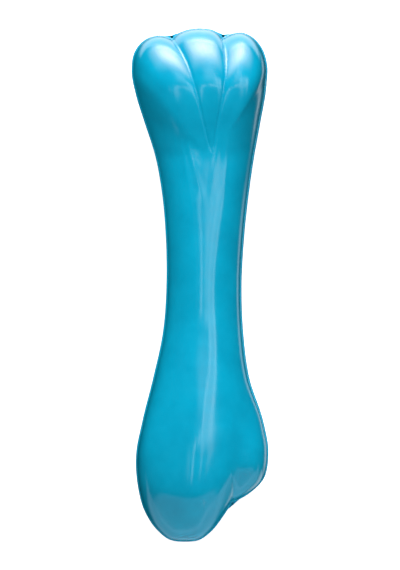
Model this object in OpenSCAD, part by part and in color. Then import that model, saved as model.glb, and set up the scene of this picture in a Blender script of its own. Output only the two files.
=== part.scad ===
// Chew bone: two hollow moulded halves that meet on a flat parting plane.
// The bone lies on its back: length along Y, front half up, three-lobed end at +Y.

/* [Bone] */
// Length from tip to tip
bone_length = 165; // [130:1:200]
// Rise of each half over the middle of the shaft
shaft_rise = 11.8; // [10:0.1:13]
// Rise of each half over the three-lobed end
lobe_rise = 18.9; // [16:0.1:20]
// Rise of each half over the two-knuckled end
knuckle_rise = 17.5; // [16.5:0.1:19]
// Height of the upright foot of the skin above the parting line
rim_rise = 1.4; // [0.8:0.1:2]

/* [Creases] */
// Depth of the creases between the lobes at the edge, as a share of the rise
lobe_crease = 0.2; // [0.05:0.01:0.25]
// Depth of the valley between the knuckles, as a share of the rise
knuckle_valley = 0.06; // [0:0.01:0.12]
// Fall of the roof on both sides of the knuckles' ridge, over one ridge_width
ridge_drop = 1.2; // [0.4:0.1:1.3]
// Half width of the rounded top of that ridge
ridge_width = 3; // [2:0.5:6]
// Depth of the shallow hollow between that ridge and the small knuckle
hollow_depth = 1.1; // [0:0.1:1.2]
// Slope of the end face of the knuckles
end_slope = 0.5; // [0.1:0.05:0.5]

/* [Shell] */
// Wall thickness of both halves
wall = 3; // [2.8:0.1:4]
// Height of the tongue under the rim of the front half
tongue_h = 1.2; // [0.6:0.1:1.6]
// Width of that tongue
tongue_w = 1; // [0.8:0.1:1.2]
// Gap round the tongue in the groove of the rear half
fit_gap = 0.1; // [0.05:0.05:0.2]

/* [Parting line] */
// How far the bead along the parting line stands out
bead_out = 0.5; // [0.2:0.1:0.8]
// Height of the bead on each half
bead_h = 0.6; // [0.3:0.1:1]
// How far the rear bead fills the notches of the outline
notch_web = 0.9; // [0.1:0.1:1.4]

/* [Hidden] */

// The outline is drawn at about life size, then scaled to bone_length.
// The skin hangs on ribs from the crest to the edge. At share f of the way out, a rib has the crest's height
// times (1 - f ^ fullness) ^ power, so a high fullness is flat on top and a low power is steep at the edge.
// Shaft stations: place along the length, crest, then the left and right edge with their fullness and power
stations = [
    [-44, 1.8, [-20, 7, 0.38], [19, 3, 0.52]],
    [-30, 0.8, [-16.5, 3.6, 0.52], [14.5, 2.4, 0.62]],
    [-15, 0.3, [-13.3, 2.2, 0.7], [12.5, 2.1, 0.72]],
    [0, 0.2, [-12.2, 2, 0.75], [12, 2, 0.75]],
    [15, 0.8, [-12.4, 2.3, 0.78], [12.8, 2.3, 0.78]],
    [30, 1.6, [-13.7, 2.8, 0.83], [14.4, 2.9, 0.82]],
    [41, 2.6, [-15.7, 2.9, 0.86], [16, 3.1, 0.85]]
];
// Points of the outline: across, along, fullness, power
// Notches in the outline: between the knuckles, and on each side of the middle lobe
knuckle_notch = [8.8, -70, 5, 0.66];
right_notch = [5.9, 79.5, 3.2, 0.55];
left_notch = [-10.4, 79.2, 3.2, 0.55];
// Outline of each end, anticlockwise seen from the front
small_knuckle = [
    knuckle_notch, [14.5, -67, 5, 0.66], [19, -62.5, 6, 0.6], [20.6, -54, 4.6, 0.55]
];
right_lobe = [
    [18, 52, 3.2, 0.83], [20, 64, 3.2, 0.76], [20.2, 71, 3.2, 0.68], [18, 77, 3.2, 0.61],
    [15, 80, 3.1, 0.57], [12, 81.2, 3.2, 0.55], [8.5, 80.7, 3.2, 0.55], right_notch
];
middle_lobe = [
    right_notch, [3.5, 81.6, 3.2, 0.55], [-1, 82.5, 3.2, 0.55],
    [-6, 81.9, 3.2, 0.55], [-8.8, 80.7, 3.2, 0.55], left_notch
];
left_lobe = [
    left_notch, [-13, 80.1, 3.2, 0.55], [-16.5, 80, 3.1, 0.57], [-20, 78.2, 3, 0.6],
    [-22.6, 74.5, 2.9, 0.65], [-23.4, 69, 2.8, 0.72], [-22, 61, 2.7, 0.8], [-19.5, 53, 2.7, 0.86]
];
big_knuckle = [
    [-22, -55, 8, 0.38], [-21.5, -64, 7, 0.44], [-19.3, -72.5, 5.8, 0.48], [-15.5, -78.5, 5.2, 0.51],
    [-11, -82, 5, 0.53], [-6, -82.6, 5, 0.54], [-1.5, -82, 5, 0.55], [2, -79.5, 5, 0.58],
    [6, -74.5, 5, 0.62], knuckle_notch
];

// Where the front climbs to the lobes and to the knuckles, and where the ridge grows, along the length
lobe_slope = [36, 64];
knuckle_slope = [-8, -54];
ridge_slope = [-15, -44];
// Drift of the ridge to the left, growing with the square of the distance along
ridge_bow = 0.0008;
// Where the hollow beside the ridge grows, its half width, and its drift to the right on the way up
hollow_slope = [-26, -52];
hollow_width = 4.2;
hollow_lean = 0.17;
// Top of the end face, on the left and on the right, where it changes over, and the rounding there
end_line = [-66.5, -59];
end_turn = [3, 11.5];
end_round = 2.5;
// The creases deepen late on their way out, and their ribs bow sideways
crease_growth = 3.5;
lobe_bend = 1.9;
lobe_bend_span = [60, 78];
valley_bend = 2.8;
valley_span = [0.4, 0.85];
// Growth of each bow along its rib, f ^ growth * (1 - f), and the factor that brings its highest point to 1
lobe_bow_growth = 2;
lobe_bow_peak = 6.75;
valley_bow_growth = 1.5;
valley_bow_peak = 5.38;
// Distance from a notch over which its crease dies out along the edge
lobe_reach = 9;
knuckle_reach = 12;
web_reach = 2.5;
// Fullness of the upright foot
rim_fullness = 20;

// Mesh steps: along each span of the outline, down the outer skin, down the inner skin
span_steps = 3;
outer_steps = 11;
inner_steps = 5;
// Distance from the outer edge to the tongue
tongue_inset = bead_out + (wall - tongue_w) / 2;

function smooth(t) = let (c = min(max(t, 0), 1)) c * c * (3 - 2 * c);
function ramp(v, span) = smooth((v - span[0]) / (span[1] - span[0]));
function blend(a, b, t) = a + (b - a) * t;
function clamp(v, low, high) = min(max(v, low), high);
function chord(a, b) = norm([b[0] - a[0], b[1] - a[1]]);

// Smooth curve through a list of points; its last point is left out
function inner_tangent(p, k) =
    let (
        before = p[k] - p[k - 1],
        after = p[k + 1] - p[k],
        a = chord(p[k - 1], p[k]),
        b = chord(p[k], p[k + 1])
    )
    (before * b / a + after * a / b) / (a + b);
function end_tangent(from, to, beyond) = 2 * (to - from) / chord(from, to) - beyond;
function tangent(p, k) =
    k == 0 ? end_tangent(p[0], p[1], inner_tangent(p, 1))
    : k == len(p) - 1 ? end_tangent(p[k - 1], p[k], inner_tangent(p, k - 1))
    : inner_tangent(p, k);
function hermite(a, u, b, v, t) =
    a * (1 + 2 * t) * pow(1 - t, 2) + u * t * pow(1 - t, 2) + b * t * t * (3 - 2 * t) + v * t * t * (t - 1);
function curve(p) = [
    for (k = [0 : len(p) - 2])
        let (h = chord(p[k], p[k + 1]), u = tangent(p, k) * h, v = tangent(p, k + 1) * h)
        for (j = [0 : span_steps - 1])
            hermite(p[k], u, p[k + 1], v, j / span_steps)
];

// The outline in three smooth runs that meet at the notches
last_station = len(stations) - 1;
right_shaft = [for (s = stations) [s[3][0], s[0], s[3][1], s[3][2]]];
left_shaft = [for (k = [last_station : -1 : 0]) let (s = stations[k]) [s[2][0], s[0], s[2][1], s[2][2]]];
crest = [for (s = stations) [s[1], s[0]]];
right_run = curve(concat(small_knuckle, right_shaft, right_lobe));
middle_run = curve(middle_lobe);
left_run = curve(concat(left_lobe, left_shaft, big_knuckle));
outline = concat(right_run, middle_run, left_run);
ribs = len(outline);

// Scale to the wanted length, and centre on the box of the outline
outline_x = [for (p = outline) p[0]];
outline_y = [for (p = outline) p[1]];
plan_scale = bone_length / (max(outline_y) - min(outline_y));
plan_centre = [max(outline_x) + min(outline_x), max(outline_y) + min(outline_y)] / 2;
function placed(p) = ([p[0], p[1]] - plan_centre) * plan_scale;
function drawn(p) = p / plan_scale + plan_centre;
edge = [for (p = outline) placed(p)];
spine = [for (p = concat(curve(crest), [crest[last_station]])) placed(p)];

// Each rib runs from a point of the spine to a point of the edge; the ends fan out from the spine's ends
spine_end = len(spine) - 1;
first_right = len(small_knuckle) * span_steps;
first_left = len(left_lobe) * span_steps;
root = concat(
    [for (i = [0 : len(right_run) - 1]) clamp(i - first_right, 0, spine_end)],
    [for (p = middle_run) spine_end],
    [for (i = [0 : len(left_run) - 1]) spine_end - clamp(i - first_left, 0, spine_end)]
);
function next(i) = (i + 1) % ribs;
function inward(i) =
    let (along = edge[next(i)] - edge[(i + ribs - 1) % ribs])
    [-along[1], along[0]] / norm(along);
function inset(i, d) = edge[i] + inward(i) * d;

// How near the end of rib i is to each notch: 1 at the notch, 0 beyond its reach
function nearness(i, notch, reach) = max(0, 1 - chord(outline[i], notch) / reach);
lobe_near = [
    for (i = [0 : ribs - 1])
        max(nearness(i, right_notch, lobe_reach), nearness(i, left_notch, lobe_reach))
];
valley_near = [for (i = [0 : ribs - 1]) nearness(i, knuckle_notch, knuckle_reach)];
web_near = [
    for (i = [0 : ribs - 1])
        max([for (notch = [right_notch, left_notch, knuckle_notch]) nearness(i, notch, web_reach)])
];

// Height of the crest over the parting plane: a climb to each end, and the forms of the knuckles
function roof_fall(x, y) =
    let (away = (x + ridge_bow * pow(min(0, y), 2)) / ridge_width)
    ridge_drop * (sqrt(1 + away * away) - 1);
function hollow_fall(x, y) =
    let (beside = (x - knuckle_notch[0] - hollow_lean * (y - knuckle_notch[1])) / hollow_width)
    hollow_depth * exp(-beside * beside);
function end_fall(x, y) =
    let (past = blend(end_line[0], end_line[1], ramp(x, end_turn)) - y)
    end_slope * (past + norm([past, end_round])) / 2;
function rise_at(p) =
    let (d = drawn(p))
    shaft_rise
        + (lobe_rise - shaft_rise) * ramp(d[1], lobe_slope)
        + (knuckle_rise - shaft_rise) * ramp(d[1], knuckle_slope)
        - roof_fall(d[0], d[1]) * ramp(d[1], ridge_slope)
        - hollow_fall(d[0], d[1]) * ramp(d[1], hollow_slope)
        - end_fall(d[0], d[1]);

// Share of the height that is left beside the creases
function share(i, f) =
    1 - lobe_crease * pow(lobe_near[i], 2) * pow(f, crease_growth)
      - knuckle_valley * pow(valley_near[i], 2) * ramp(f, valley_span);

// Point on rib i at share f of the way to an edge that is inset by d, with the rise lowered by drop
function bend(i, f) =
    let (
        lobe_bow = lobe_bend * ramp(outline[i][1], lobe_bend_span),
        valley_bow = valley_bend * smooth(valley_near[i]),
        bow = lobe_bow * lobe_bow_peak * pow(f, lobe_bow_growth)
            + valley_bow * valley_bow_peak * pow(f, valley_bow_growth)
    )
    [bow * (1 - f) * plan_scale, 0];
function section(i, f) = pow(max(0, 1 - pow(f, outline[i][2])), outline[i][3]);
function skin_point(i, f, d, drop, foot) =
    let (
        p = blend(spine[root[i]], inset(i, d), f) + bend(i, f),
        rim = rim_rise * sqrt(max(0, 1 - pow(f, rim_fullness))),
        z = rim + (rise_at(p) - drop - foot - rim_rise) * section(i, f) * share(i, f)
    )
    [p[0], p[1], z + foot];

function outer_loop(j) = [
    for (i = [0 : ribs - 1]) skin_point(i, sin(90 * j / outer_steps), bead_out, 0, bead_h)
];
function inner_loop(j) = [
    for (i = [0 : ribs - 1]) skin_point(i, sin(90 * j / inner_steps), wall + bead_out, wall, 0)
];
// Loop parallel to the edge at inset d and height z, pushed out at the notches by web
function rim_loop(d, z, web = 0) = [
    for (i = [0 : ribs - 1])
        let (p = inset(i, d - web * web_near[i]))
        [p[0], p[1], z]
];
// Loops from the outer skin over the bead and the step of the rim to the inner skin
function half_loops(step_inset, step_w, step_z, web) = concat(
    [for (j = [1 : outer_steps]) outer_loop(j)],
    [rim_loop(0, bead_h / 2, web), rim_loop(0, 0, web)],
    [rim_loop(step_inset, 0), rim_loop(step_inset, step_z)],
    [rim_loop(step_inset + step_w, step_z), rim_loop(step_inset + step_w, 0)],
    [for (j = [inner_steps : -1 : 1]) inner_loop(j)]
);
outer_spine = [for (p = spine) [p[0], p[1], rise_at(p)]];
inner_spine = [for (p = spine) [p[0], p[1], rise_at(p) - wall]];

// One hollow half, crest up, with its rim at z = 0
module half(loops) {
    count = len(loops);
    inner_first = len(spine) + count * ribs;
    function at(k, i) = len(spine) + k * ribs + i;
    crest_faces = [
        for (i = [0 : ribs - 1])
            let (a = root[i], b = root[next(i)], c = at(0, next(i)), d = at(0, i))
            each a == b ? [[a, c, d]] : [[a, b, c], [a, c, d]]
    ];
    skin_faces = [
        for (k = [0 : count - 2], i = [0 : ribs - 1])
            let (a = at(k, i), b = at(k, next(i)), c = at(k + 1, next(i)), d = at(k + 1, i))
            each [[a, b, c], [a, c, d]]
    ];
    hollow_faces = [
        for (i = [0 : ribs - 1])
            let (
                a = at(count - 1, i),
                b = at(count - 1, next(i)),
                c = inner_first + root[next(i)],
                d = inner_first + root[i]
            )
            each c == d ? [[a, b, c]] : [[a, b, c], [a, c, d]]
    ];
    polyhedron(
        points = concat(outer_spine, [for (loop = loops) each loop], inner_spine),
        faces = concat(crest_faces, skin_faces, hollow_faces),
        convexity = 6
    );
}

front_loops = half_loops(tongue_inset, tongue_w, -tongue_h, 0);
rear_loops = half_loops(tongue_inset - fit_gap, tongue_w + 2 * fit_gap, tongue_h + fit_gap, notch_web);
// The rear half is as deep as its highest point, so the bone rests at z = 0
parting_z = max([for (loop = concat([outer_spine], rear_loops)) each [for (p = loop) p[2]]]);

module front_shell() {
    color("#00A5CA")
    translate([0, 0, parting_z])
    half(front_loops);
}

module rear_shell() {
    color("#0096BC")
    translate([0, 0, parting_z])
    mirror([0, 0, 1])
    half(rear_loops);
}

front_shell();
rear_shell();
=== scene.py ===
import math
import bpy
import numpy as np
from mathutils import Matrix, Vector


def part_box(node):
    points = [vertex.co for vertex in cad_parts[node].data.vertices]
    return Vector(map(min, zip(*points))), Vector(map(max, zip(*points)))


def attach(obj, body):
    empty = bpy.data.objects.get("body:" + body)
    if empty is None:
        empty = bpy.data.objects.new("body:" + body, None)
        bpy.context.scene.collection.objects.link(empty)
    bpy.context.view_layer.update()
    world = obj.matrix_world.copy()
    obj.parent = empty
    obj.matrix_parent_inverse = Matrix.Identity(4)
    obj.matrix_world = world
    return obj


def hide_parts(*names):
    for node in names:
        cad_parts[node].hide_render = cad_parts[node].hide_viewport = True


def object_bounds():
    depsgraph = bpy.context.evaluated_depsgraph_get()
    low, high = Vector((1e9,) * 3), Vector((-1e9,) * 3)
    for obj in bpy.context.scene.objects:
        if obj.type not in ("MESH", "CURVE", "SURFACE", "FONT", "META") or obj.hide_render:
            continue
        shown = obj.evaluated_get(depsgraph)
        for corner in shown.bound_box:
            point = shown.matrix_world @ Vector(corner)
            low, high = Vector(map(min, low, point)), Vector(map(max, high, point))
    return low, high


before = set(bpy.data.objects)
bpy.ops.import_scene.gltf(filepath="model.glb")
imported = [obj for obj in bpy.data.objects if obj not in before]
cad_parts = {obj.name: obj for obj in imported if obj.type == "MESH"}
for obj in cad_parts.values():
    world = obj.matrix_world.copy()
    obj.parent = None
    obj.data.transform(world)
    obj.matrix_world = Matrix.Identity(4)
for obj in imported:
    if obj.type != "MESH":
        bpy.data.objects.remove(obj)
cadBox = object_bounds()  # the CAD model's box, before anything is added
mmPerMetre = 1000  # the frame and Blender count in metres, the bone's sizes are in mm
print("frame loaded")


# Small helpers

def smooth(t):
    c = np.clip(t, 0.0, 1.0)
    return c * c * (3.0 - 2.0 * c)


def ramp(v, span):
    return smooth((v - span[0]) / (span[1] - span[0]))


def mix(a, b, t):
    return a + (b - a) * t


def linearColour(hexText):
    # sRGB hex to the linear values that the shaders take
    parts = [int(hexText[k:k + 2], 16) / 255.0 for k in (1, 3, 5)]
    return [p / 12.92 if p <= 0.04045 else ((p + 0.055) / 1.055) ** 2.4 for p in parts] + [1.0]


def addNode(tree, kind, settings=None, links=None):
    # settings go to a socket of that name or number, or else to the node itself
    node = tree.nodes.new(kind)
    for name, value in (settings or {}).items():
        if isinstance(name, int) or name in node.inputs:
            node.inputs[name].default_value = value
        else:
            setattr(node, name, value)
    for name, source in (links or {}).items():
        tree.links.new(source, node.inputs[name])
    return node


# The bone's outline and sections, all in mm

# They are those of the solids, apart from a straighter climb to the lobes, fuller lobes and rounder
# creases. The fine lines along the creases and the faint ribs that fan out below them are only here.
# Each rib of the skin runs from the crest to the edge. At share f of the way its height is that of the
# crest times (1 - f ** fullness) ** power.
bone = {
    # along the length, crest, then the left and the right edge with their fullness and power
    "stations": [
        (-44, 1.8, (-20.0, 7.0, 0.38), (19.0, 3.0, 0.52)),
        (-30, 0.8, (-16.5, 3.6, 0.52), (14.5, 2.4, 0.62)),
        (-15, 0.3, (-13.3, 2.2, 0.70), (12.5, 2.1, 0.72)),
        (0, 0.2, (-12.2, 2.0, 0.75), (12.0, 2.0, 0.75)),
        (15, 0.8, (-12.4, 2.3, 0.78), (12.8, 2.3, 0.78)),
        (30, 1.6, (-13.7, 2.8, 0.83), (14.4, 2.9, 0.82)),
        (41, 2.6, (-15.7, 2.9, 0.86), (16.0, 3.1, 0.85)),
    ],
    # points of the outline: across, along, fullness, power
    "knuckleNotch": (8.8, -70, 5.0, 0.66),
    "rightNotch": (5.9, 79.5, 4.2, 0.55),
    "leftNotch": (-10.4, 79.2, 4.2, 0.55),
    "smallKnuckle": [(14.5, -67, 5.0, 0.66), (19, -62.5, 6.0, 0.60), (20.6, -54, 4.6, 0.55)],
    "rightLobe": [
        (18, 52, 3.4, 0.83), (20, 64, 3.7, 0.76), (20.2, 71, 3.9, 0.68), (18, 77, 4.1, 0.61),
        (15, 80, 4.2, 0.57), (12, 81.2, 4.2, 0.55), (8.5, 80.7, 4.2, 0.55),
    ],
    "middleLobe": [
        (3.5, 81.6, 4.2, 0.55), (-1, 82.5, 4.2, 0.55), (-6, 81.9, 4.2, 0.55), (-8.8, 80.7, 4.2, 0.55),
    ],
    "leftLobe": [
        (-13, 80.1, 4.2, 0.55), (-16.5, 80, 4.2, 0.56), (-20, 78.2, 4.2, 0.57), (-22.6, 74.5, 4.2, 0.60),
        (-23.4, 69, 3.8, 0.66), (-22, 61, 3.1, 0.78), (-19.5, 53, 2.8, 0.86),
    ],
    "bigKnuckle": [
        (-22, -55, 8.0, 0.38), (-21.5, -64, 7.0, 0.44), (-19.3, -72.5, 5.8, 0.48),
        (-15.5, -78.5, 5.2, 0.51), (-11, -82, 5.0, 0.53), (-6, -82.6, 5.0, 0.54),
        (-1.5, -82, 5.0, 0.55), (2, -79.5, 5.0, 0.58), (6, -74.5, 5.0, 0.62),
    ],
    "shaftRise": 11.8,
    "lobeRise": 18.6,
    "knuckleRise": 17.5,
    "rimRise": 1.4,              # the upright foot of the skin above the parting line
    "rimFullness": 20.0,
    "lobeSlope": (42, 64),       # where the front climbs to the lobes, along the length
    "lobeRound": (3.5, 2.5),     # rounding at the foot and at the top of that climb
    "knuckleSlope": (-8, -54),   # where it climbs to the knuckles
    "ridgeSlope": (-15, -44),    # where the knuckles' ridge grows
    "ridgeDrop": 1.2,            # fall of the roof on both sides of that ridge
    "ridgeWidth": 3.0,
    "ridgeBow": 0.0008,          # the ridge's drift to the left
    "hollowDepth": 1.1,          # shallow hollow between the ridge and the small knuckle
    "hollowWidth": 4.2,
    "hollowLean": 0.17,          # its drift to the right on the way up from the notch
    "hollowSlope": (-26, -52),
    "endSlope": 0.50,            # fall of the knuckles' end face
    "endRound": 2.5,
    "endLine": (-66.5, -59),     # where that fall starts, on the left and on the right
    "endTurn": (3, 11.5),        # across, between those two
    "lobeCrease": 0.20,          # depth of the creases at the edge, share of the height
    "creaseGrowth": 3.5,         # how late the creases deepen on their way out
    "creaseRound": 0.35,         # radius left in the bottom of a crease
    "lobeReach": 9.0,            # how far along the edge a crease is felt
    "lobeBend": 1.9,             # sideways bow of the creases
    "lobeBendSpan": (60, 78),
    "lobeBowGrowth": 2,          # the bow grows as f ** growth * (1 - f)
    "lobeBowPeak": 6.75,         # factor that brings its highest point to 1
    "grooveDepth": 0.14,         # fine line along each crease
    "grooveWidth": 0.45,
    "grooveStart": 0.08,         # share of the way to the edge over which it deepens
    "grooveEnd": 6,              # how late it fades towards the edge
    "fanRibs": [(-6.1, -0.18), (-3.5, -0.29), (3.4, 0.14), (6.7, 0.07)],  # across, lean
    "fanRibHeight": 0.16,        # faint ribs that fan out below the creases
    "fanRibWidth": 0.9,
    "fanRibMiddle": 38.0,        # along the length
    "fanRibReach": 9.0,
    "valleyDepth": 0.06,         # valley between the knuckles, share of the height
    "valleySpan": (0.4, 0.85),
    "valleyReach": 12.0,
    "valleyBend": 2.8,           # sideways bow of the valley
    "valleyBowGrowth": 1.5,
    "valleyBowPeak": 5.38,
    "wall": 3.0,
    "tongueHeight": 1.2,
    "tongueWidth": 1.0,
    "fitGap": 0.1,
    "beadOut": 0.5,              # how far the rim's bead stands out from the skin
    "beadHeight": 0.6,
    "notchWeb": 0.9,             # how far the rear rim reaches into the notches
    "webReach": 2.5,
}

meshSteps = {"span": 10, "outer": 52, "bead": 6, "inner": 10}
notchCrowding = 1.7  # ribs stand closer together beside a notch
sharpAngle = 50      # degrees, folds beyond it stay crisp


def tangents(points):
    # slopes of a smooth curve through points, per mm of chord
    chords = np.linalg.norm(np.diff(points[:, :2], axis=0), axis=1)
    units = np.diff(points, axis=0) / chords[:, None]
    slopes = np.zeros_like(points)
    before, after = chords[:-1, None], chords[1:, None]
    slopes[1:-1] = (units[:-1] * after + units[1:] * before) / (before + after)
    slopes[0] = 2 * units[0] - slopes[1]
    slopes[-1] = 2 * units[-1] - slopes[-2]
    return chords, slopes


def curve(points, crowdStart=1.0, crowdEnd=1.0):
    # smooth curve through points, without its last point
    points = np.array(points, float)
    chords, slopes = tangents(points)
    spans = []
    for k, h in enumerate(chords):
        t = np.arange(meshSteps["span"]) / meshSteps["span"]
        if k == 0:
            t = t ** crowdStart
        if k == len(chords) - 1:
            t = 1 - (1 - t) ** crowdEnd
        t = t[:, None]
        spans.append(
            points[k] * (1 + 2 * t) * (1 - t) ** 2 + slopes[k] * h * t * (1 - t) ** 2
            + points[k + 1] * t * t * (3 - 2 * t) + slopes[k + 1] * h * t * t * (t - 1)
        )
    return np.vstack(spans)


def makePlan():
    # edge points, spine points and the spine point that each rib starts from
    knuckleNotch, rightNotch, leftNotch = bone["knuckleNotch"], bone["rightNotch"], bone["leftNotch"]
    rightShaft = [(right[0], y, right[1], right[2]) for y, middle, left, right in bone["stations"]]
    leftShaft = [(left[0], y, left[1], left[2]) for y, middle, left, right in bone["stations"][::-1]]
    crest = [(middle, y) for y, middle, left, right in bone["stations"]]
    crowd = notchCrowding
    rightRun = [knuckleNotch] + bone["smallKnuckle"] + rightShaft + bone["rightLobe"] + [rightNotch]
    middleRun = [rightNotch] + bone["middleLobe"] + [leftNotch]
    leftRun = [leftNotch] + bone["leftLobe"] + leftShaft + bone["bigKnuckle"] + [knuckleNotch]
    rightRun, middleRun, leftRun = [curve(run, crowd, crowd) for run in (rightRun, middleRun, leftRun)]
    spine = np.vstack([curve(crest), crest[-1:]])
    spineEnd = len(spine) - 1
    firstRight = (1 + len(bone["smallKnuckle"])) * meshSteps["span"]
    firstLeft = (1 + len(bone["leftLobe"])) * meshSteps["span"]
    root = np.concatenate([
        np.clip(np.arange(len(rightRun)) - firstRight, 0, spineEnd),
        np.full(len(middleRun), spineEnd),
        spineEnd - np.clip(np.arange(len(leftRun)) - firstLeft, 0, spineEnd),
    ])
    return np.vstack([rightRun, middleRun, leftRun]), spine, root


drawnRibs, drawnSpine, root = makePlan()
drawnEdge, fullness, power = drawnRibs[:, :2], drawnRibs[:, 2], drawnRibs[:, 3]
ribs = len(drawnEdge)

# the drawn plan is fitted to the CAD box
low, high = drawnEdge.min(axis=0), drawnEdge.max(axis=0)
cadLow, cadHigh = [np.array(limit) * mmPerMetre for limit in cadBox]
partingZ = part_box("rear_shell")[1][2] * mmPerMetre  # the rear half's top
planScale = (cadHigh - cadLow)[:2] / (high - low)
planShift = (cadLow + cadHigh)[:2] / 2 - (low + high) / 2 * planScale
edge = drawnEdge * planScale + planShift
spine = drawnSpine * planScale + planShift
along = np.roll(edge, -1, axis=0) - np.roll(edge, 1, axis=0)
inward = np.stack([-along[:, 1], along[:, 0]], axis=1) / np.linalg.norm(along, axis=1)[:, None]


def edgeAway(notchName):
    # distance of each rib's end from a notch
    return np.linalg.norm(drawnEdge - np.array(bone[notchName][:2]), axis=1)


def nearness(away, reach):
    # 1 at the notch, 0 beyond its reach
    return np.clip(1 - away / reach, 0, 1)


creaseAway = np.minimum(edgeAway("rightNotch"), edgeAway("leftNotch"))
roundAway = np.sqrt(creaseAway ** 2 + bone["creaseRound"] ** 2) - bone["creaseRound"]
valleyAway = edgeAway("knuckleNotch")
lobeNear = nearness(roundAway, bone["lobeReach"])
valleyNear = nearness(valleyAway, bone["valleyReach"])
webNear = nearness(np.minimum(creaseAway, valleyAway), bone["webReach"])
lobeBow = bone["lobeBend"] * ramp(drawnEdge[:, 1], bone["lobeBendSpan"]) * planScale[0]
valleyBow = bone["valleyBend"] * smooth(valleyNear) * planScale[0]


def corner(t, rounding):
    # 0 before the corner, t after it
    return (t + np.sqrt(t ** 2 + rounding ** 2)) / 2


def climb(v, span, roundings):
    # straight rise from 0 to 1 with rounded ends
    foot, top = [corner(v - place, rounding) for place, rounding in zip(span, roundings)]
    return (foot - top) / (span[1] - span[0])


def fanRibAt(x, y):
    # height of the faint ribs, which fade out at both ends
    beyond = y - bone["fanRibMiddle"]
    aside = [(x - at - lean * beyond) / bone["fanRibWidth"] for at, lean in bone["fanRibs"]]
    fade = np.exp(-(beyond / bone["fanRibReach"]) ** 4)
    return bone["fanRibHeight"] * sum(np.exp(-a ** 2) for a in aside) * fade


def riseAt(points):
    # height of the crest over the parting plane: a climb to each end, and a roof over the knuckles
    x, y = ((points - planShift) / planScale).T
    away = (x + bone["ridgeBow"] * np.minimum(0, y) ** 2) / bone["ridgeWidth"]
    notchX, notchY = bone["knuckleNotch"][:2]
    beside = (x - notchX - bone["hollowLean"] * (y - notchY)) / bone["hollowWidth"]
    past = mix(*bone["endLine"], ramp(x, bone["endTurn"])) - y
    return (
        bone["shaftRise"]
        + (bone["lobeRise"] - bone["shaftRise"]) * climb(y, bone["lobeSlope"], bone["lobeRound"])
        + (bone["knuckleRise"] - bone["shaftRise"]) * ramp(y, bone["knuckleSlope"])
        - bone["ridgeDrop"] * (np.sqrt(1 + away ** 2) - 1) * ramp(y, bone["ridgeSlope"])
        - bone["hollowDepth"] * np.exp(-beside ** 2) * ramp(y, bone["hollowSlope"])
        - bone["endSlope"] * corner(past, bone["endRound"])
        + fanRibAt(x, y)
    )


def skinLoop(f, inset, drop, foot):
    # one ring of the skin at share f of the way from the spine to the edge
    p = mix(spine[root], edge + inward * inset, f)
    p[:, 0] += (
        lobeBow * bone["lobeBowPeak"] * f ** bone["lobeBowGrowth"] * (1 - f)
        + valleyBow * bone["valleyBowPeak"] * f ** bone["valleyBowGrowth"] * (1 - f)
    )
    share = 1 - bone["lobeCrease"] * lobeNear ** 2 * f ** bone["creaseGrowth"]
    share -= bone["valleyDepth"] * valleyNear ** 2 * ramp(f, bone["valleySpan"])
    rim = bone["rimRise"] * math.sqrt(max(0, 1 - f ** bone["rimFullness"]))
    section = np.maximum(0, 1 - f ** fullness) ** power
    z = rim + (riseAt(p) - drop - foot - bone["rimRise"]) * section * share
    groove = np.exp(-(creaseAway * f / bone["grooveWidth"]) ** 2)
    groove = groove * smooth(f / bone["grooveStart"]) * (1 - f ** bone["grooveEnd"])
    return np.column_stack([p, np.maximum(z - bone["grooveDepth"] * groove, 0) + foot])


def rimLoop(inset, z, web=0.0):
    # one level ring of the rim, drawn out by the web beside the notches
    return np.column_stack([edge + inward * (inset - web * webNear)[:, None], np.full(ribs, z)])


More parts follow.
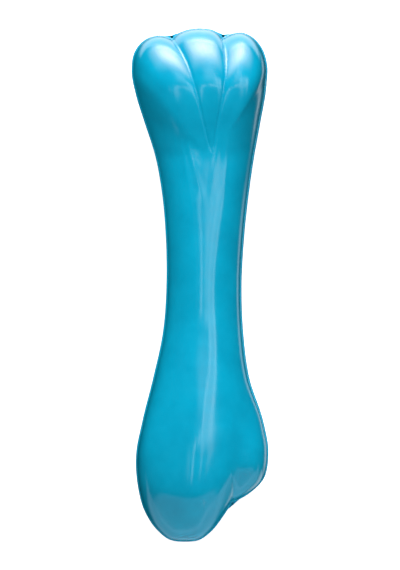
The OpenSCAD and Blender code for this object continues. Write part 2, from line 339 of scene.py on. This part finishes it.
def makeHalf(name, node, stepInset, stepWidth, stepZ, web, upSign):
    # a closed hollow half: outer skin, bead, stepped rim, inner skin
    loops = []
    for angle in np.linspace(0, math.pi / 2, meshSteps["outer"] + 1)[1:]:
        loops.append(skinLoop(math.sin(angle), bone["beadOut"], 0, bone["beadHeight"]))
    for angle in np.linspace(0, math.pi / 2, meshSteps["bead"] + 1)[1:]:
        inset = np.full(ribs, bone["beadOut"] * (1 - math.sin(angle)))
        loops.append(rimLoop(inset, bone["beadHeight"] * math.cos(angle), web * math.sin(angle)))
    for across, z in ((0, 0), (0, stepZ), (stepWidth, stepZ), (stepWidth, 0)):
        loops.append(rimLoop(np.full(ribs, stepInset + across), z))
    for angle in np.linspace(math.pi / 2, 0, meshSteps["inner"] + 1)[:-1]:
        loops.append(skinLoop(math.sin(angle), bone["wall"] + bone["beadOut"], bone["wall"], 0))
    outerSpine = np.column_stack([spine, riseAt(spine)])
    innerSpine = np.column_stack([spine, riseAt(spine) - bone["wall"]])
    points = np.vstack([outerSpine] + loops + [innerSpine])

    # the skin fills the CAD half's height exactly
    cadHeight = cadHigh[2] - partingZ if upSign > 0 else partingZ - cadLow[2]
    points[:, 2] *= np.where(points[:, 2] > 0, cadHeight / points[:, 2].max(), 1.0)
    points[:, 2] = partingZ + upSign * points[:, 2]

    # faces as the rear half needs them to look outwards, turned round for the front half
    neighbours = [(i, (i + 1) % ribs) for i in range(ribs)]
    firstLoop = len(spine)
    lastLoop = firstLoop + (len(loops) - 1) * ribs
    innerFirst = lastLoop + ribs
    faces = []
    for i, n in neighbours:
        corners = [root[i], root[n], firstLoop + n, firstLoop + i]
        faces.append(corners if root[i] != root[n] else corners[1:])
    for loop in range(firstLoop, lastLoop, ribs):
        faces += [[loop + i, loop + n, loop + ribs + n, loop + ribs + i] for i, n in neighbours]
    for i, n in neighbours:
        corners = [lastLoop + i, lastLoop + n, innerFirst + root[n], innerFirst + root[i]]
        faces.append(corners if root[i] != root[n] else corners[:3])
    if upSign > 0:
        faces = [face[::-1] for face in faces]

    mesh = bpy.data.meshes.new(name)
    mesh.from_pydata((points / mmPerMetre).tolist(), [], [[int(v) for v in face] for face in faces])
    mesh.validate()
    mesh.shade_smooth()
    mesh.set_sharp_from_angle(angle=math.radians(sharpAngle))
    piece = bpy.data.objects.new(name, mesh)
    bpy.context.collection.objects.link(piece)
    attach(piece, "root")
    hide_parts(node)
    print("made", name, len(points), "points")
    return piece


tongueInset = bone["beadOut"] + (bone["wall"] - bone["tongueWidth"]) / 2
frontHalf = makeHalf(
    "frontHalf", "front_shell", tongueInset, bone["tongueWidth"], -bone["tongueHeight"], 0.0, 1,
)
rearHalf = makeHalf(
    "rearHalf", "rear_shell", tongueInset - bone["fitGap"], bone["tongueWidth"] + 2 * bone["fitGap"],
    bone["tongueHeight"] + bone["fitGap"], bone["notchWeb"], -1,
)


# Injection-moulded vinyl, cyan right through. The mould gives it a satin gloss with soft-edged
# reflections and a faint orange peel, the melt a slight clouding of the colour, and the cooling slow waves.

plastic = {
    "pale": "#00ADD3",
    "deep": "#00A4CA",
    "mottleSize": 9.0,           # mm, slow drift of the pigment
    "flowSize": 3.5,             # mm, finer clouding
    "peelSize": 0.9,             # mm, drawn coarser than the real 0.3 mm so that it shows
    "peelDepth": 0.001,          # mm
    "waveSize": 9.0,             # mm, slow sink of the cooled wall
    "waveDepth": 0.02,           # mm
    "noiseDetail": {"mottle": 3.0, "flow": 4.0, "peel": 2.0, "wave": 1.0},
    "noiseRoughness": 0.55,
    "flowShare": 0.35,           # how much of the clouding is added to the drift
    "tintSpan": (0.5, 0.85),     # of that sum, from the deep to the pale colour
    "roughSpan": (0.3, 0.7),     # of the clouding, from the smoother to the rougher skin
    "roughLow": 0.15,
    "roughHigh": 0.19,
    "ior": 1.53,
}


def makePlastic():
    material = bpy.data.materials.new("mouldedVinylSatinCyan")
    material.use_nodes = True
    tree = material.node_tree
    tree.nodes.clear()
    place = addNode(tree, "ShaderNodeTexCoord").outputs["Object"]
    noises = {
        name: addNode(
            tree, "ShaderNodeTexNoise",
            {
                "Scale": mmPerMetre / plastic[name + "Size"],
                "Detail": detail,
                "Roughness": plastic["noiseRoughness"],
            },
            {"Vector": place},
        ).outputs["Fac"]
        for name, detail in plastic["noiseDetail"].items()
    }
    both = addNode(
        tree, "ShaderNodeMath", {"operation": "MULTIPLY_ADD", 1: plastic["flowShare"]},
        {0: noises["flow"], 2: noises["mottle"]},
    )
    tint = addNode(tree, "ShaderNodeValToRGB", links={"Fac": both.outputs[0]})
    for stop, position, shade in zip(tint.color_ramp.elements, plastic["tintSpan"], ("deep", "pale")):
        stop.position = position
        stop.color = linearColour(plastic[shade])
    rough = addNode(
        tree, "ShaderNodeMapRange",
        {
            "From Min": plastic["roughSpan"][0],
            "From Max": plastic["roughSpan"][1],
            "To Min": plastic["roughLow"],
            "To Max": plastic["roughHigh"],
        },
        {"Value": noises["flow"]},
    )
    waves = addNode(
        tree, "ShaderNodeBump", {"Strength": 1.0, "Distance": plastic["waveDepth"] / mmPerMetre},
        {"Height": noises["wave"]},
    )
    peel = addNode(
        tree, "ShaderNodeBump", {"Strength": 1.0, "Distance": plastic["peelDepth"] / mmPerMetre},
        {"Height": noises["peel"], "Normal": waves.outputs["Normal"]},
    )
    shader = addNode(
        tree, "ShaderNodeBsdfPrincipled", {"IOR": plastic["ior"], "Metallic": 0.0},
        {
            "Base Color": tint.outputs["Color"],
            "Roughness": rough.outputs["Result"],
            "Normal": peel.outputs["Normal"],
        },
    )
    addNode(tree, "ShaderNodeOutputMaterial", links={"Surface": shader.outputs["BSDF"]})
    return material


vinyl = makePlastic()
for half in (frontHalf, rearHalf):
    half.data.materials.append(vinyl)
print("plastic done")


# Floor, light and camera

studio = {
    "floorSize": 3.0,            # metres
    "floorColour": "#F7F7F7",
    "floorRoughness": 0.9,
    "floorGlow": 0.85,
    "worldColour": "#FFFFFF",
    "worldStrength": 0.34,
    "cameraDistance": 1.0,       # metres above the parting plane
    "photoSpan": 0.1831,         # metres of that plane that the picture's height takes in
    "sensor": 36.0,              # mm
    "clipEnd": 10,               # metres
}

# Panels, in metres. One without an aim lies flat and faces the parting plane from above or from the floor.
# Lamps light the surface and don't show in the gloss, and the others show there and light nothing.
panels = {
    "overheadKey": dict(
        place=(0.02, 0.70, 0.66), aim=(0, 0, 0.015), size=(0.60, 0.60), brightness=8.8, lamp=True,
    ),
    "leftFill": dict(
        place=(-0.45, 0.36, 0.20), aim=(-0.021, 0.064, 0.02), size=(0.05, 0.05), brightness=0.5,
        spread=18, lamp=True,
    ),
    "lowerFill": dict(
        place=(0.26, -0.49, 0.13), aim=(-0.002, -0.080, 0.022), size=(0.05, 0.05), brightness=0.85,
        spread=16, lamp=True,
    ),
    "shaftPanel": dict(place=(0.39, 0.16, 0.85), size=(0.54, 0.60), brightness=2.0, fade=0.5),
    "shaftLineLeft": dict(place=(0.21, 0.16, 0.849), size=(0.14, 0.60), brightness=1.4, fade=0.7),
    "shaftLineRight": dict(place=(0.59, 0.16, 0.849), size=(0.20, 0.60), brightness=2.6, fade=0.7),
    "fanBodyLeft": dict(place=(-0.19, 0.0, 0.848), size=(0.22, 0.12), brightness=3.4, fade=0.9),
    "fanBodyRight": dict(place=(0.06, 0.03, 0.848), size=(0.32, 0.17), brightness=2.8, fade=0.9),
    "fanLineFarLeft": dict(place=(-0.46, -0.12, 0.846), size=(0.14, 0.30), brightness=1.1, fade=0.9),
    "fanLineLeft": dict(place=(-0.24, -0.14, 0.846), size=(0.16, 0.34), brightness=2.8, fade=0.9),
    "fanLineRight": dict(place=(0.30, -0.14, 0.846), size=(0.16, 0.34), brightness=1.6, fade=0.9),
    "fanLineFarRight": dict(place=(0.62, -0.14, 0.846), size=(0.18, 0.34), brightness=2.0, fade=0.9),
    "lobeTail": dict(place=(0.02, 0.46, 0.845), size=(0.60, 0.76), brightness=1.7, fade=0.8),
    "lobeSoftbox": dict(
        place=(-0.06, 0.70, 0.22), aim=(0, 0.075, 0.02), size=(1.05, 0.80), brightness=11.6, fade=1.0,
        colour="#FFCCB2",
    ),
    "lobeSurround": dict(
        place=(-0.03, 0.72, 0.19), aim=(0, 0.075, 0.02), size=(2.20, 1.30), brightness=7.6, fade=0.9,
        colour="#FFCCB2",
    ),
    "upperCard": dict(place=(-0.002, 0.238, 0.001), size=(0.11, 0.31), brightness=2.0, fade=0.08),
    "upperFarCard": dict(place=(0.0, 0.42, 0.002), size=(0.24, 0.50), brightness=4.2, fade=0.2),
    "lowerCard": dict(
        place=(0.0, -0.50, 0.12), aim=(0.0, -0.07, 0.02), size=(1.40, 0.46), brightness=1.25, fade=0.3,
        colour="#A9CDE6",
    ),
    "lowerFloorCard": dict(
        place=(0.0, -0.235, 0.001), size=(0.40, 0.30), brightness=1.5, fade=0.1, colour="#A9CDE6",
    ),
    "knuckleFloorCard": dict(
        place=(0.036, -0.0765, 0.002), size=(0.032, 0.017), brightness=1.0, fade=0.3,
    ),
    "rightCard": dict(place=(0.035, -0.02, 0.001), size=(0.014, 0.13), brightness=1.0, fade=0.5),
    "rightLobeCard": dict(place=(0.0345, 0.062, 0.001), size=(0.008, 0.055), brightness=0.9, fade=0.6),
}


def makeFloor():
    # matt painted board, an even pale ground without reflections
    half = studio["floorSize"] / 2
    mesh = bpy.data.meshes.new("floor")
    corners = [(-half, -half, 0), (half, -half, 0), (half, half, 0), (-half, half, 0)]
    mesh.from_pydata(corners, [], [(0, 1, 2, 3)])
    floor = bpy.data.objects.new("floor", mesh)
    bpy.context.collection.objects.link(floor)
    material = bpy.data.materials.new("mattPaintedBoard")
    material.use_nodes = True
    shader = material.node_tree.nodes["Principled BSDF"]
    shader.inputs["Base Color"].default_value = linearColour(studio["floorColour"])
    shader.inputs["Roughness"].default_value = studio["floorRoughness"]
    shader.inputs["Emission Color"].default_value = linearColour(studio["floorColour"])
    shader.inputs["Emission Strength"].default_value = studio["floorGlow"]
    mesh.materials.append(material)

    # the glow keeps the floor pale, and none of it falls on the plastic
    floor.visible_glossy = False
    floor.visible_diffuse = False


def makeWorld():
    world = bpy.data.worlds.new("studio")
    bpy.context.scene.world = world
    world.use_nodes = True
    world.cycles_visibility.glossy = False  # the plastic mirrors only the panels
    tree = world.node_tree
    tree.nodes.clear()
    glow = addNode(
        tree, "ShaderNodeBackground",
        {"Strength": studio["worldStrength"], "Color": linearColour(studio["worldColour"])},
    )
    addNode(tree, "ShaderNodeOutputWorld", links={"Surface": glow.outputs["Background"]})


def fadePanel(data, fade):
    # brightness falls off towards the rim, as on a cloth diffuser
    data.use_nodes = True
    tree = data.node_tree
    tree.nodes.clear()
    place = addNode(tree, "ShaderNodeNewGeometry").outputs["Parametric"]
    sides = addNode(tree, "ShaderNodeSeparateXYZ", links={0: place})
    falls = []
    for side in ("X", "Y"):
        # 0 at either rim, 0.5 in the middle
        inwards = addNode(
            tree, "ShaderNodeMath", {"operation": "PINGPONG", 1: 0.5}, {0: sides.outputs[side]},
        )
        falls.append(addNode(
            tree, "ShaderNodeMapRange", {"interpolation_type": "SMOOTHSTEP", "From Max": fade / 2},
            {"Value": inwards.outputs[0]},
        ).outputs["Result"])
    share = addNode(tree, "ShaderNodeMath", {"operation": "MULTIPLY"}, {0: falls[0], 1: falls[1]})
    glow = addNode(tree, "ShaderNodeEmission", links={"Strength": share.outputs[0]})
    addNode(tree, "ShaderNodeOutputLight", links={"Surface": glow.outputs["Emission"]})


def makePanel(name, place, size, brightness, aim=None, fade=0, colour="#FFFFFF", spread=180, lamp=False):
    data = bpy.data.lights.new(name, "AREA")
    data.shape = "RECTANGLE"
    data.size, data.size_y = size
    data.energy = brightness * math.pi * size[0] * size[1]  # a larger panel takes more power
    data.spread = math.radians(spread)  # less than 180 degrees behind a honeycomb
    data.color = linearColour(colour)[:3]
    if fade > 0:
        fadePanel(data, fade)
    light = bpy.data.objects.new(name, data)
    light.visible_glossy = not lamp
    light.visible_diffuse = lamp
    light.location = place
    target = aim or (place[0], place[1], partingZ / mmPerMetre)
    light.rotation_euler = (Vector(target) - Vector(place)).to_track_quat("-Z", "Y").to_euler()
    bpy.context.collection.objects.link(light)


def makeCamera():
    data = bpy.data.cameras.new("camera")
    data.sensor_width = studio["sensor"]
    data.lens = studio["sensor"] * studio["cameraDistance"] / studio["photoSpan"]
    data.clip_end = studio["clipEnd"]
    camera = bpy.data.objects.new("camera", data)
    camera.location = (0, 0, partingZ / mmPerMetre + studio["cameraDistance"])
    bpy.context.collection.objects.link(camera)
    bpy.context.scene.camera = camera


makeFloor()
makeWorld()
for panelName, panel in panels.items():
    makePanel(panelName, **panel)
makeCamera()
bpy.context.scene.view_settings.view_transform = "Standard"
print("studio done")
